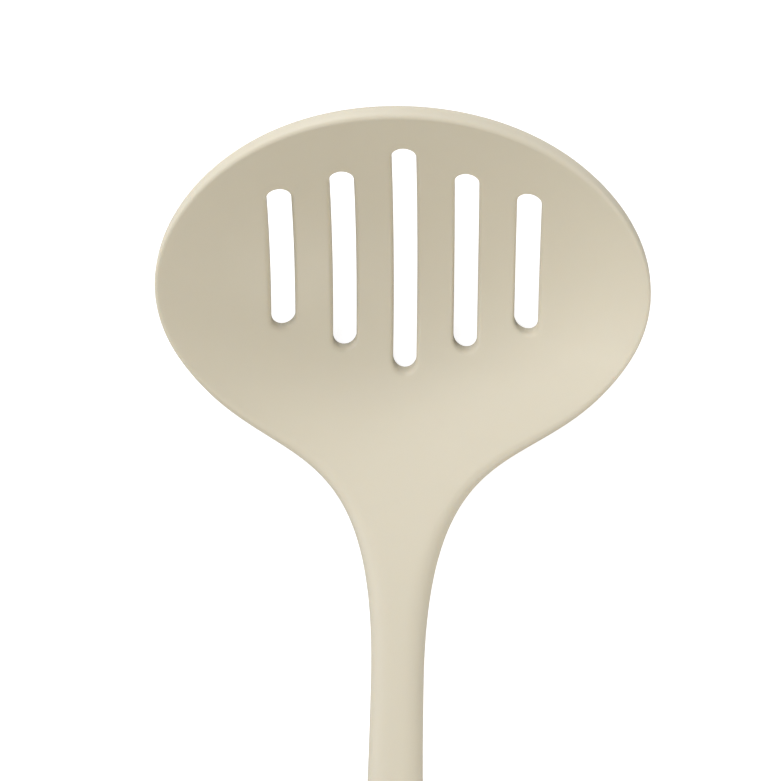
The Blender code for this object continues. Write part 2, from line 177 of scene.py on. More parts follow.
# The lamps
LAMP_DISTANCE = 1.3
LAMP_SIZE = 0.7


def ease(value, start, end):
    """Goes smoothly from 0 at start to 1 at end."""
    share = min(max((value - start) / (end - start), 0.0), 1.0)
    return share * share * (3.0 - 2.0 * share)


def edge_rounding(station):
    """How far the round of the skin's edge reaches inwards."""
    neck = (NECK_ROUNDING - RIM_ROUNDING) * ease(station, FLOOR_STATION, NECK_FULL_STATION)
    grip = (GRIP_ROUNDING - NECK_ROUNDING) * ease(station, NECK_STATION, REST_STATION)
    return RIM_ROUNDING + neck + grip


def half_outline():
    """Half widths and stations of the tool's outline, from the tip of the head to the end of the handle."""
    line = []
    for index in range(CURVE_STEPS + 1):
        angle = -math.pi / 2 + (FLANK_ANGLE + math.pi / 2) * index / CURVE_STEPS
        narrowing = TIP_NARROWING * math.sin(2 * min(angle, 0.0)) ** 2
        half_width = HEAD_HALF_WIDTH * math.cos(angle) * (1.0 - narrowing)
        line.append(Vector((half_width, HEAD_HALF_LENGTH * math.sin(angle))))
    start = line[-1]
    tangent = Vector((-HEAD_HALF_WIDTH * math.sin(FLANK_ANGLE), HEAD_HALF_LENGTH * math.cos(FLANK_ANGLE)))
    end = Vector((NECK_WIDTH / 2, NECK_STATION))
    start_pull = start + tangent.normalized() * FLANK_HEAD_PULL
    end_pull = end - Vector((0.0, FLANK_NECK_PULL))
    line.extend(interpolate_bezier(start, start_pull, end_pull, end, CURVE_STEPS)[1:])
    for index in range(1, CURVE_STEPS + 1):
        station = NECK_STATION + (CAP_STATION - NECK_STATION) * index / CURVE_STEPS
        flare = ease(station, NECK_STATION, NECK_STATION + FLARE_LENGTH)
        line.append(Vector((NECK_WIDTH / 2 + (GRIP_WIDTH - NECK_WIDTH) / 2 * flare, station)))
    last_half_width = line[-1].x
    for index in range(1, CURVE_STEPS + 1):
        angle = math.pi / 2 * index / CURVE_STEPS
        line.append(Vector((last_half_width * math.cos(angle), CAP_STATION + CAP_LENGTH * math.sin(angle))))
    return line


def evenly_spaced(line, spacing):
    """Points along a line, all about as far apart as the spacing, with both its ends."""
    reached = [0.0]
    for before, after in zip(line, line[1:]):
        reached.append(reached[-1] + (after - before).length)
    count = round(reached[-1] / spacing)
    points = []
    piece = 0
    for index in range(count + 1):
        target = reached[-1] * index / count
        while piece < len(line) - 2 and reached[piece + 1] < target:
            piece += 1
        share = (target - reached[piece]) / (reached[piece + 1] - reached[piece])
        points.append(line[piece].lerp(line[piece + 1], share))
    return points


def ring_depth(index):
    """Share of a round edge that lies outside one of its rings."""
    return 1.0 - math.cos(math.pi / 2 * index / (ROUND_RINGS - 1))


def rim_rings(half_line):
    """Closed rings of the round edge, from the outline inwards.

    The last one stops short of the round's end, which would lie along the wall of the hanging hole.
    """
    right = evenly_spaced(half_line, RIM_SPACING)
    right[0].x = 0.0
    right[-1].x = 0.0
    left = [Vector((-point.x, point.y)) for point in reversed(right[1:-1])]
    outline = right + left
    count = len(outline)
    rings = [[] for _ in range(ROUND_RINGS)]
    for index, point in enumerate(outline):
        tangent = (outline[(index + 1) % count] - outline[index - 1]).normalized()
        inwards = Vector((-tangent.y, tangent.x))
        for number, ring in enumerate(rings):
            reach = RIM_RING_REACH * ring_depth(number)
            ring.append(point + inwards * edge_rounding(point.y) * reach)
    return rings


def round_ended_loop(half_width, half_straight, growth):
    """Places across and along a round-ended opening that has grown, once round it."""
    radius = half_width + growth
    end_steps = round(math.pi * half_width / MOUTH_SPACING)
    side_steps = max(round(2 * half_straight / MOUTH_SPACING), 1)
    places = []
    for end in (1.0, -1.0):
        for index in range(end_steps + 1):
            angle = math.pi * index / end_steps
            along = half_straight + radius * math.sin(angle)
            places.append((end * radius * math.cos(angle), end * along))
        for index in range(1, side_steps):
            places.append((-end * radius, end * half_straight * (1.0 - 2.0 * index / side_steps)))
    return places


def bowl_height(x, station):
    """Height of the middle of the bowl's thickness, up to where the neck climbs out of it."""
    dish = DISH_CURVE * (1.0 - ease(station, FLOOR_STATION, DISH_END_STATION))
    return FLOOR_HEIGHT + BOWL_CURVE * (station - FLOOR_STATION) ** 2 + dish * x ** 2


def bowl_place(x, station, across, along):
    """Where a line along the draw of the mould, from a place beside a slot's centre, meets the bowl."""
    place = Vector((x + across, station - along * math.cos(HEAD_TILT)))
    height = bowl_height(x, station) + along * math.sin(HEAD_TILT)
    for _ in range(MEETING_STEPS):
        step_up = bowl_height(place.x, place.y + SLOPE_STEP) - bowl_height(place.x, place.y - SLOPE_STEP)
        slope = step_up / (2 * SLOPE_STEP)
        gap = bowl_height(place.x, place.y) - height
        travel = gap / (math.cos(HEAD_TILT) - slope * math.sin(HEAD_TILT))
        place.y += travel * math.sin(HEAD_TILT)
        height += travel * math.cos(HEAD_TILT)
    return place


def mouth_rings():
    """For each slot and the hanging hole, the closed rings of its round mouth, from its wall outwards."""
    openings = []
    outermost = len(SLOT_LENGTH_SHARES) - 1
    for steps_out in range(-outermost, outermost + 1):
        half_straight = (HEAD_LENGTH * SLOT_LENGTH_SHARES[abs(steps_out)] - SLOT_WIDTH) / 2
        station = -HEAD_LENGTH * SLOT_SHIFT_SHARES[abs(steps_out)]
        rings = []
        for number in range(ROUND_RINGS):
            places = round_ended_loop(SLOT_WIDTH / 2, half_straight, MOUTH_ROUNDING * ring_depth(number))
            rings.append([bowl_place(SLOT_PITCH * steps_out, station, *place) for place in places])
        openings.append(rings)
    hole = []
    for number in range(ROUND_RINGS):
        growth = MOUTH_ROUNDING * ring_depth(number)
        places = round_ended_loop(HOLE_WIDTH / 2, (HOLE_LENGTH - HOLE_WIDTH) / 2, growth)
        hole.append([Vector((across, HOLE_STATION - along)) for across, along in places])
    openings.append(hole)
    return openings


def half_width_at(half_line, station):
    """Half width of the outline at a station."""
    for before, after in zip(half_line, half_line[1:]):
        if before.y <= station <= after.y:
            share = (station - before.y) / max(after.y - before.y, SHORTEST_STEP)
            return before.x + (after.x - before.x) * share
    return 0.0


def in_opening(point, openings):
    """True if a point lies in the box round the wall of a slot or of the hole."""
    for rings in openings:
        wall = rings[0]
        if min(p.x for p in wall) < point.x < max(p.x for p in wall):
            if min(p.y for p in wall) < point.y < max(p.y for p in wall):
                return True
    return False


def fill_points(half_line, openings, taken):
    """Points in a honeycomb over the sheet, clear of the rings."""
    tree = KDTree(len(taken))
    for index, point in enumerate(taken):
        tree.insert(point.to_3d(), index)
    tree.balance()
    points = []
    row_height = FILL_SPACING * math.sqrt(0.75)
    row = 0
    station = -HEAD_HALF_LENGTH
    while station < END_STATION:
        half_width = half_width_at(half_line, station)
        reach = int(half_width / FILL_SPACING) + 1
        for column in range(-reach, reach + 1):
            point = Vector(((column + row % 2 / 2) * FILL_SPACING, station))
            if abs(point.x) > half_width or in_opening(point, openings):
                continue
            if tree.find(point.to_3d())[2] > FILL_MARGIN:
                points.append(point)
        row += 1
        station += row_height
    return points


def flat_sheet():
    """The flat sheet, with the edges of its openings marked."""
    half_line = half_outline()
    outer = rim_rings(half_line)
    openings = mouth_rings()
    points = []
    edges = []
    opening_of = {}
    for group_index, rings in enumerate([outer] + openings):
        for ring_index, ring in enumerate(rings):
            first = len(points)
            points.extend(ring)
            edges.extend((first + k, first + (k + 1) % len(ring)) for k in range(len(ring)))
            if group_index and ring_index == 0:
                opening_of.update((first + k, group_index) for k in range(len(ring)))
    points.extend(fill_points(half_line, openings, points))
    places, _, faces, origins, _, _ = delaunay_2d_cdt(points, edges, [], ONLY_INSIDE, SAME_POINT)
    owners = [next((opening_of[k] for k in origin if k in opening_of), 0) for origin in origins]
    kept = []
    for face in faces:
        found = {owners[corner] for corner in face}
        if len(found) > 1 or found == {0}:
            kept.append(face[::-1])
    mesh = bpy.data.meshes.new("flat_sheet")
    mesh.from_pydata([(p.x, HEAD_CENTRE_Y - p.y, 0.0) for p in places], [], kept)
    marks = mesh.attributes.new("opening_edge", 'BOOLEAN', 'POINT')
    marks.data.foreach_set("value", [owner > 0 for owner in owners])
    sheet = bpy.data.objects.new("flat_sheet", mesh)
    bpy.context.scene.collection.objects.link(sheet)
    return sheet


def add(tree, kind, inputs=None, **settings):
    """Adds a node to a tree, with its options, and sets or links its inputs."""
    node = tree.nodes.new(kind)
    for name, value in settings.items():
        setattr(node, name, value)
    for socket, value in (inputs or {}).items():
        if isinstance(value, bpy.types.NodeSocket):
            tree.links.new(value, node.inputs[socket])
        else:
            node.inputs[socket].default_value = value
    return node


def maths(tree, operation, *values):
    """Output of a Math node."""
    return add(tree, "ShaderNodeMath", dict(enumerate(values)), operation=operation).outputs[0]


def vector_maths(tree, operation, *values):
    """First output of a Vector Math node that is in use."""
    node = add(tree, "ShaderNodeVectorMath", dict(enumerate(values)), operation=operation)
    return next(socket for socket in node.outputs if socket.enabled)


def smooth_step(tree, value, start, end):
    """Goes smoothly from 0 at start to 1 at end, as ease does."""
    inputs = {"Value": value, "From Min": start, "From Max": end}
    return add(tree, "ShaderNodeMapRange", inputs, interpolation_type='SMOOTHSTEP').outputs["Result"]


def new_group(name, kind, inputs, outputs):
    """Node group with named sockets, and its input and output nodes."""
    tree = bpy.data.node_groups.new(name, kind)
    for direction, sockets in (('INPUT', inputs), ('OUTPUT', outputs)):
        for socket_name, socket_kind in sockets:
            tree.interface.new_socket(socket_name, in_out=direction, socket_type=socket_kind)
    return tree, tree.nodes.new("NodeGroupInput").outputs, tree.nodes.new("NodeGroupOutput").inputs


FLOAT = 'NodeSocketFloat'
VECTOR = 'NodeSocketVector'
COLOUR = 'NodeSocketColor'
GEOMETRY = 'NodeSocketGeometry'
MATERIAL = 'NodeSocketMaterial'


def round_edge_group():
    """Share of the full thickness at a distance from a round edge."""
    tree, given, result = new_group(
        "round_edge", 'GeometryNodeTree', [("Distance", FLOAT), ("Rounding", FLOAT)], [("Share", FLOAT)])
    reached = maths(tree, 'MINIMUM', maths(tree, 'DIVIDE', given["Distance"], given["Rounding"]), 1.0)
    left = maths(tree, 'SUBTRACT', 1.0, reached)
    squared = maths(tree, 'SUBTRACT', 1.0, maths(tree, 'MULTIPLY', left, left))
    tree.links.new(maths(tree, 'SQRT', squared), result["Share"])
    return tree


def along_tool_group():
    """A size that goes smoothly from its value in the bowl to those in the neck and the grip."""
    names = (
        "Bowl", "Neck", "Grip", "Station", "Floor Station", "Neck Full Station", "Neck Station",
        "Rest Station")
    tree, given, result = new_group(
        "along_tool", 'GeometryNodeTree', [(name, FLOAT) for name in names], [("Size", FLOAT)])
    to_neck = smooth_step(tree, given["Station"], given["Floor Station"], given["Neck Full Station"])
    to_grip = smooth_step(tree, given["Station"], given["Neck Station"], given["Rest Station"])
    neck_part = maths(tree, 'MULTIPLY', maths(tree, 'SUBTRACT', given["Neck"], given["Bowl"]), to_neck)
    grip_part = maths(tree, 'MULTIPLY', maths(tree, 'SUBTRACT', given["Grip"], given["Neck"]), to_grip)
    tree.links.new(
        maths(tree, 'ADD', maths(tree, 'ADD', given["Bowl"], neck_part), grip_part), result["Size"])
    return tree


def middle_height_group():
    """Height of the middle of the tool's thickness: bowl, climbing neck, arch and flat end."""
    names = (
        "Across", "Station", "Floor Station", "Floor Height", "Bowl Curve", "Dish Curve", "Dish End Station",
        "Climb Station", "Climb Height", "Climb Start", "Crest Station", "Crest Height", "Rest Station",
        "Rest Height")
    tree, given, result = new_group(
        "middle_height", 'GeometryNodeTree', [(name, FLOAT) for name in names], [("Height", FLOAT)])
    in_bowl = maths(tree, 'MINIMUM', given["Station"], given["Climb Station"])
    from_floor = maths(tree, 'SUBTRACT', in_bowl, given["Floor Station"])
    bowl = maths(tree, 'MULTIPLY', given["Bowl Curve"], maths(tree, 'MULTIPLY', from_floor, from_floor))
    share = add(
        tree, "ShaderNodeMapRange",
        {"Value": given["Station"], "From Min": given["Climb Station"],
         "From Max": given["Crest Station"]}).outputs[0]
    left = maths(tree, 'SUBTRACT', 1.0, share)
    fading = maths(tree, 'MULTIPLY', share, maths(tree, 'MULTIPLY', left, left))
    start = maths(tree, 'MULTIPLY', given["Climb Start"], fading)
    rise = maths(
        tree, 'MULTIPLY', maths(tree, 'SUBTRACT', given["Crest Height"], given["Climb Height"]),
        smooth_step(tree, given["Station"], given["Climb Station"], given["Crest Station"]))
    fall = maths(
        tree, 'MULTIPLY', maths(tree, 'SUBTRACT', given["Crest Height"], given["Rest Height"]),
        smooth_step(tree, given["Station"], given["Crest Station"], given["Rest Station"]))
    dish_end = smooth_step(tree, given["Station"], given["Floor Station"], given["Dish End Station"])
    dish_share = maths(tree, 'SUBTRACT', 1.0, dish_end)
    dish = maths(
        tree, 'MULTIPLY', maths(tree, 'MULTIPLY', given["Dish Curve"], dish_share),
        maths(tree, 'MULTIPLY', given["Across"], given["Across"]))
    neck = maths(tree, 'SUBTRACT', maths(tree, 'ADD', start, rise), fall)
    spine = maths(tree, 'ADD', maths(tree, 'ADD', given["Floor Height"], bowl), neck)
    tree.links.new(maths(tree, 'ADD', spine, dish), result["Height"])
    return tree


SKIN_SIZES = {
    "Head Centre": HEAD_CENTRE_Y,
    "Head Tilt": HEAD_TILT,
    "Floor Station": FLOOR_STATION,
    "Floor Height": FLOOR_HEIGHT,
    "Bowl Curve": BOWL_CURVE,
    "Dish Curve": DISH_CURVE,
    "Dish End Station": DISH_END_STATION,
    "Neck Full Station": NECK_FULL_STATION,
    "Neck Station": NECK_STATION,
    "Climb Station": CLIMB_STATION,
    "Climb Height": CLIMB_HEIGHT,
    "Climb Start": math.tan(NECK_SLOPE) * CLIMB_LENGTH,
    "Crest Station": CREST_STATION,
    "Crest Height": CREST_HEIGHT,
    "Rest Station": REST_STATION,
    "Rest Height": REST_HEIGHT,
    "Bowl Half Thickness": BOWL_THICKNESS / 2,
    "Neck Half Thickness": NECK_THICKNESS / 2,
    "Grip Half Thickness": GRIP_THICKNESS / 2,
    "Rim Rounding": RIM_ROUNDING,
    "Neck Rounding": NECK_ROUNDING,
    "Grip Rounding": GRIP_ROUNDING,
    "Rim Half Face": RIM_HALF_FACE,
    "Half Land": PARTING_LAND / 2,
    "Mouth Rounding": MOUTH_ROUNDING,
    "Rim Band Start": RIM_BAND[0],
    "Rim Band End": RIM_BAND[1],
    "Slope Step": SLOPE_STEP,
    "Pin Hole Radius": PIN_HOLE_DIAMETER / 2,
    "Pin Depth": PIN_DEPTH_SHARE * NECK_THICKNESS / 2,
    "First Pin Hole": PIN_HOLE_STATIONS[0],
    "Second Pin Hole": PIN_HOLE_STATIONS[1],
    "Third Pin Hole": PIN_HOLE_STATIONS[2],
    "Merge Distance": MERGE_DISTANCE,
}


def linked_sizes(tree, group, given, **linked):
    """Places a node group, with each input linked to what is given or to the tree's size of its name."""
    node = add(tree, "GeometryNodeGroup", node_tree=group)
    for socket in node.inputs:
        source = linked.get(socket.name.replace(" ", "_"))
        tree.links.new(source if source else given[socket.name], socket)
    return node.outputs[0]


def stored(tree, name, data_type):
    """Attribute that the sheet carries."""
    return add(tree, "GeometryNodeInputNamedAttribute", {"Name": name}, data_type=data_type).outputs[0]


def scaled(tree, vector, factor):
    """Vector times a factor."""
    return add(tree, "ShaderNodeVectorMath", {0: vector, "Scale": factor}, operation='SCALE').outputs[0]


def moved(tree, geometry, **inputs):
    """Geometry after a Set Position node."""
    return add(tree, "GeometryNodeSetPosition", {"Geometry": geometry, **inputs}).outputs[0]


def measured_sheet(tree, given, on_edge):
    """The flat sheet, with its distances from the outline and from the openings stored on it."""
    marked = stored(tree, "opening_edge", 'BOOLEAN')
    at_opening = add(tree, "FunctionNodeBooleanMath", {0: on_edge, 1: marked}, operation='AND').outputs[0]
    at_outline = add(tree, "FunctionNodeBooleanMath", {0: on_edge, 1: marked}, operation='NIMPLY').outputs[0]
    sheet = given["Flat Sheet"]
    for name, selection in (("rim_distance", at_outline), ("mouth_distance", at_opening)):
        border = add(
            tree, "GeometryNodeSeparateGeometry", {"Geometry": given["Flat Sheet"], "Selection": selection},
            domain='EDGE').outputs["Selection"]
        distance = add(
            tree, "GeometryNodeProximity", {"Geometry": border}, target_element='EDGES').outputs["Distance"]
        sheet = add(
            tree, "GeometryNodeStoreNamedAttribute", {"Geometry": sheet, "Name": name, "Value": distance},
            data_type='FLOAT', domain='POINT').outputs[0]
    return sheet


def upright_direction(tree, given, middle_height, station):
    """The way that is up in the section at each place: square to the spine."""
    on_spine = add(tree, "ShaderNodeValue").outputs[0]
    on_spine.default_value = 0.0
    heights = []
    for side in (-1.0, 1.0):
        beside = maths(tree, 'MULTIPLY_ADD', given["Slope Step"], side, station)
        heights.append(linked_sizes(tree, middle_height, given, Across=on_spine, Station=beside))
    climb = maths(tree, 'SUBTRACT', heights[1], heights[0])
    slope = maths(tree, 'DIVIDE', climb, maths(tree, 'MULTIPLY', given["Slope Step"], 2.0))
    leaning = add(tree, "ShaderNodeCombineXYZ", {"Y": slope, "Z": 1.0}).outputs[0]
    return vector_maths(tree, 'NORMALIZE', leaning)


def skin_level(tree, given, along_tool, station, half_thickness, rim_stretch):
    """Half of the thickness, less where an edge is round, down to the flat face on the rim."""
    round_edge = round_edge_group()
    rounding = linked_sizes(
        tree, along_tool, given, Station=station, Bowl=given["Rim Rounding"],
        Neck=given["Neck Rounding"], Grip=given["Grip Rounding"])
    half_face = linked_sizes(
        tree, along_tool, given, Station=station, Bowl=given["Rim Half Face"],
        Neck=given["Half Land"], Grip=given["Half Land"])
    from_rim = maths(tree, 'MULTIPLY', stored(tree, "rim_distance", 'FLOAT'), rim_stretch)
    rim_share = add(
        tree, "GeometryNodeGroup", {"Distance": from_rim, "Rounding": rounding},
        node_tree=round_edge).outputs[0]
    rounded_part = maths(tree, 'MULTIPLY', maths(tree, 'SUBTRACT', half_thickness, half_face), rim_share)
    from_mouth = stored(tree, "mouth_distance", 'FLOAT')
    mouth_share = add(
        tree, "GeometryNodeGroup", {"Distance": from_mouth, "Rounding": given["Mouth Rounding"]},
        node_tree=round_edge).outputs[0]
    mouth_loss = maths(tree, 'MULTIPLY', given["Mouth Rounding"], maths(tree, 'SUBTRACT', 1.0, mouth_share))
    return maths(tree, 'SUBTRACT', maths(tree, 'ADD', half_face, rounded_part), mouth_loss)


def skin_direction(tree, given, station, upright, normal, facing):
    """Way of the thickness: upright in the section at the rim, along the draw of the mould further in.

    It is longer than 1 by as much as it leans from the surface's normal, so that the thickness stays true.
    """
    past_dish = smooth_step(tree, station, given["Floor Station"], given["Dish End Station"])
    lean = maths(tree, 'MULTIPLY', given["Head Tilt"], maths(tree, 'SUBTRACT', 1.0, past_dish))
    sideways = maths(tree, 'MULTIPLY', maths(tree, 'SINE', lean), -1.0)
    draw = add(tree, "ShaderNodeCombineXYZ", {"Y": sideways, "Z": maths(tree, 'COSINE', lean)}).outputs[0]
    draw_length = maths(tree, 'DIVIDE', 1.0, vector_maths(tree, 'DOT_PRODUCT', draw, normal))
    draw_step = scaled(tree, draw, draw_length)
    upright_step = scaled(tree, upright, maths(tree, 'DIVIDE', 1.0, facing))
    inside = smooth_step(
        tree, stored(tree, "rim_distance", 'FLOAT'), given["Rim Band Start"], given["Rim Band End"])
    return add(
        tree, "ShaderNodeMix", {"Factor": inside, 4: upright_step, 5: draw_step},
        data_type='VECTOR').outputs[1]


def closed_skin(tree, given, middle, half_step, on_edge):
    """Front, back and the walls of the rim and the openings, as one closed skin."""
    middle = add(
        tree, "GeometryNodeStoreNamedAttribute", {"Geometry": middle, "Name": "half_step", 3: half_step},
        data_type='FLOAT_VECTOR', domain='POINT').outputs[0]
    step = stored(tree, "half_step", 'FLOAT_VECTOR')
    front = moved(tree, middle, Offset=step)
    back = moved(tree, middle, Offset=scaled(tree, step, -1.0))
    back = add(tree, "GeometryNodeFlipFaces", {"Mesh": back}).outputs[0]
    walled = add(
        tree, "GeometryNodeExtrudeMesh", {"Mesh": front, "Selection": on_edge, "Offset Scale": 0.0},
        mode='EDGES').outputs
    front = moved(tree, walled["Mesh"], Selection=walled["Top"], Offset=scaled(tree, step, -2.0))
    both = add(tree, "GeometryNodeJoinGeometry")
    tree.links.new(front, both.inputs[0])
    tree.links.new(back, both.inputs[0])
    return add(
        tree, "GeometryNodeMergeByDistance",
        {"Geometry": both.outputs[0], "Distance": given["Merge Distance"]}).outputs[0]


def drilled_skin(tree, given, skin, back_height):
    """The skin with the pin marks along its back."""
    marks = add(tree, "GeometryNodePoints", {"Count": len(PIN_HOLE_STATIONS)}).outputs[0]
    choice = add(tree, "GeometryNodeIndexSwitch", data_type='FLOAT')
    choice.index_switch_items.new()
    tree.links.new(add(tree, "GeometryNodeInputIndex").outputs[0], choice.inputs["Index"])
    for number, name in enumerate(("First Pin Hole", "Second Pin Hole", "Third Pin Hole")):
        tree.links.new(given[name], choice.inputs[number + 1])
    mark_y = maths(tree, 'SUBTRACT', given["Head Centre"], choice.outputs[0])
    marks = moved(tree, marks, Position=add(tree, "ShaderNodeCombineXYZ", {"Y": mark_y}).outputs[0])
    marks = moved(tree, marks, Offset=add(tree, "ShaderNodeCombineXYZ", {"Z": back_height}).outputs[0])
    pin = add(
        tree, "GeometryNodeMeshCylinder",
        {"Vertices": PIN_SIDES, "Radius": given["Pin Hole Radius"], "Depth": given["Pin Depth"]})
    pins = add(
        tree, "GeometryNodeInstanceOnPoints", {"Points": marks, "Instance": pin.outputs["Mesh"]}).outputs[0]
    pins = add(tree, "GeometryNodeRealizeInstances", {"Geometry": pins}).outputs[0]
    return add(
        tree, "GeometryNodeMeshBoolean", {"Mesh 1": skin, "Mesh 2": pins}, operation='DIFFERENCE',
        solver='MANIFOLD').outputs["Mesh"]


def moulded_skin_tree():
    """Tree that turns the flat sheet into the silicone skin."""
    sockets = [("Flat Sheet", GEOMETRY), ("Silicone", MATERIAL)] + [(name, FLOAT) for name in SKIN_SIZES]
    tree, given, result = new_group("moulded_skin", 'GeometryNodeTree', sockets, [("Skin", GEOMETRY)])
    along_tool = along_tool_group()
    middle_height = middle_height_group()
    place = add(tree, "GeometryNodeInputPosition").outputs[0]
    parts = add(tree, "ShaderNodeSeparateXYZ", {0: place}).outputs
    station = maths(tree, 'SUBTRACT', given["Head Centre"], parts["Y"])
    height = linked_sizes(tree, middle_height, given, Across=parts["X"], Station=station)
    half_thickness = linked_sizes(
        tree, along_tool, given, Station=station, Bowl=given["Bowl Half Thickness"],
        Neck=given["Neck Half Thickness"], Grip=given["Grip Half Thickness"])

    # The middle of the thickness
    neighbours = add(tree, "GeometryNodeInputMeshEdgeNeighbors").outputs[0]
    on_edge = add(
        tree, "FunctionNodeCompare", {2: neighbours, 3: 1}, data_type='INT', operation='EQUAL').outputs[0]
    sheet = measured_sheet(tree, given, on_edge)
    middle = moved(tree, sheet, Offset=add(tree, "ShaderNodeCombineXYZ", {"Z": height}).outputs[0])

    # The step from there to the front
    upright = upright_direction(tree, given, middle_height, station)
    normal = add(tree, "GeometryNodeInputNormal").outputs[0]
    normal_z = add(tree, "ShaderNodeSeparateXYZ", {0: normal}).outputs["Z"]
    facing = vector_maths(tree, 'DOT_PRODUCT', upright, normal)
    rim_stretch = maths(tree, 'DIVIDE', facing, normal_z)
    level = skin_level(tree, given, along_tool, station, half_thickness, rim_stretch)
    direction = skin_direction(tree, given, station, upright, normal, facing)
    skin = closed_skin(tree, given, middle, scaled(tree, direction, level), on_edge)

    back_height = maths(tree, 'SUBTRACT', height, half_thickness)
    whole = drilled_skin(tree, given, skin, back_height)
    whole = add(tree, "GeometryNodeRealizeInstances", {"Geometry": whole}).outputs[0]
    whole = add(
        tree, "GeometryNodeSetMaterial", {"Geometry": whole, "Material": given["Silicone"]}).outputs[0]
    tree.links.new(whole, result["Skin"])
    return tree


def set_inputs(modifier, values):
    """Sets a modifier's inputs by the names of the tree's sockets."""
    for item in modifier.node_group.interface.items_tree:
        if item.item_type == 'SOCKET' and item.in_out == 'INPUT' and item.name in values:
            modifier[item.identifier] = values[item.name]


def made_mesh(source, tree, values, name):
    """Plain mesh object that a tree makes out of a source object, which goes."""
    modifier = source.modifiers.new(tree.name, 'NODES')
    modifier.node_group = tree
    set_inputs(modifier, values)
    evaluated = source.evaluated_get(bpy.context.evaluated_depsgraph_get())
    mesh = bpy.data.meshes.new_from_object(evaluated)
    source.modifiers.remove(modifier)
    bpy.data.objects.remove(source)
    mesh.name = name
    result = bpy.data.objects.new(name, mesh)
    bpy.context.scene.collection.objects.link(result)
    return result


def finish_mesh(piece, sharp_angle):
    """Faces outwards, smooth but for the edges that are really sharp, and no leftover attributes."""
    mesh = piece.data
    work = bmesh.new()
    work.from_mesh(mesh)
    bmesh.ops.recalc_face_normals(work, faces=work.faces)
    work.to_mesh(mesh)
    work.free()
    mesh.shade_smooth()
    mesh.set_sharp_from_angle(angle=sharp_angle)
    for name in ("half_step", "rim_distance", "mouth_distance", "opening_edge"):
        if name in mesh.attributes:
            mesh.attributes.remove(mesh.attributes[name])


def new_material(name):
    """Material with an empty tree but for its shader and its output."""
    material = bpy.data.materials.new(name)
    material.use_nodes = True
    return material, material.node_tree, material.node_tree.nodes["Principled BSDF"]


def surface_grain_group():
    """Slow clouds between two tones, and a fine grain in the finish, for moulded and rolled surfaces."""
    sockets = [
        ("Coordinates", VECTOR), ("Cloud Scale", FLOAT), ("Grain Scale", FLOAT), ("Light Tone", COLOUR),
        ("Deep Tone", COLOUR), ("Smoothest", FLOAT), ("Roughest", FLOAT)]
    results = [("Tone", COLOUR), ("Roughness", FLOAT), ("Height", FLOAT)]
    tree, given, result = new_group("surface_grain", 'ShaderNodeTree', sockets, results)
    clouds = add(
        tree, "ShaderNodeTexNoise",
        {"Vector": given["Coordinates"], "Scale": given["Cloud Scale"], "Detail": 3.0}).outputs[0]
    grain = add(
        tree, "ShaderNodeTexNoise",
        {"Vector": given["Coordinates"], "Scale": given["Grain Scale"], "Detail": 2.0}).outputs[0]
    tone = add(
        tree, "ShaderNodeMix", {"Factor": clouds, 6: given["Light Tone"], 7: given["Deep Tone"]},
        data_type='RGBA').outputs[2]
    mixed = maths(tree, 'MULTIPLY', maths(tree, 'ADD', clouds, grain), 0.5)
    finish = add(
        tree, "ShaderNodeMapRange",
        {"Value": mixed, "From Min": NOISE_SPREAD[0], "From Max": NOISE_SPREAD[1],
         "To Min": given["Smoothest"], "To Max": given["Roughest"]})
    tree.links.new(tone, result["Tone"])
    tree.links.new(finish.outputs[0], result["Roughness"])
    tree.links.new(grain, result["Height"])
    return tree


def grained_material(name, grain_tree, stretch, bump_strength, bump_distance, values):
    """Material with the shared grain, drawn out along the axes, in its colour, roughness and bump."""
    material, tree, shader = new_material(name)
    coordinates = add(tree, "ShaderNodeTexCoord").outputs["Object"]
    drawn_out = add(tree, "ShaderNodeMapping", {"Vector": coordinates, "Scale": stretch}).outputs[0]
    grain = add(
        tree, "ShaderNodeGroup", {"Coordinates": drawn_out, **values}, node_tree=grain_tree).outputs
    bump = add(
        tree, "ShaderNodeBump",
        {"Height": grain["Height"], "Strength": bump_strength, "Distance": bump_distance}).outputs[0]
    tree.links.new(grain["Tone"], shader.inputs["Base Color"])
    tree.links.new(grain["Roughness"], shader.inputs["Roughness"])
    tree.links.new(bump, shader.inputs["Normal"])
    return material, shader


def silicone_material(grain_tree):
    """Matt cream silicone, a little translucent, with the fine texture of its mould."""
    material, shader = grained_material(
        "cream_silicone", grain_tree, stretch=(1.0, 1.0, 1.0), bump_strength=0.05, bump_distance=0.0002,
        values={"Cloud Scale": 40.0, "Grain Scale": 2600.0, "Smoothest": 0.50, "Roughest": 0.60,
                "Light Tone": (0.609, 0.556, 0.438, 1.0), "Deep Tone": (0.597, 0.544, 0.430, 1.0)})
    shader.inputs["Subsurface Weight"].default_value = 0.15
    shader.inputs["Subsurface Radius"].default_value = (1.0, 0.7, 0.4)
    shader.inputs["Subsurface Scale"].default_value = 0.0012
    return material


def nylon_material(grain_tree):
    """Dark grey nylon, with its glass fibres drawn along the flow from the neck to the tip."""
    material, _ = grained_material(
        "glass_filled_nylon", grain_tree, stretch=(1.0, 0.2, 1.0), bump_strength=0.20, bump_distance=0.0002,
        values={"Cloud Scale": 160.0, "Grain Scale": 1800.0, "Smoothest": 0.45, "Roughest": 0.65,
                "Light Tone": (0.33, 0.32, 0.30, 1.0), "Deep Tone": (0.26, 0.25, 0.23, 1.0)})
    return material


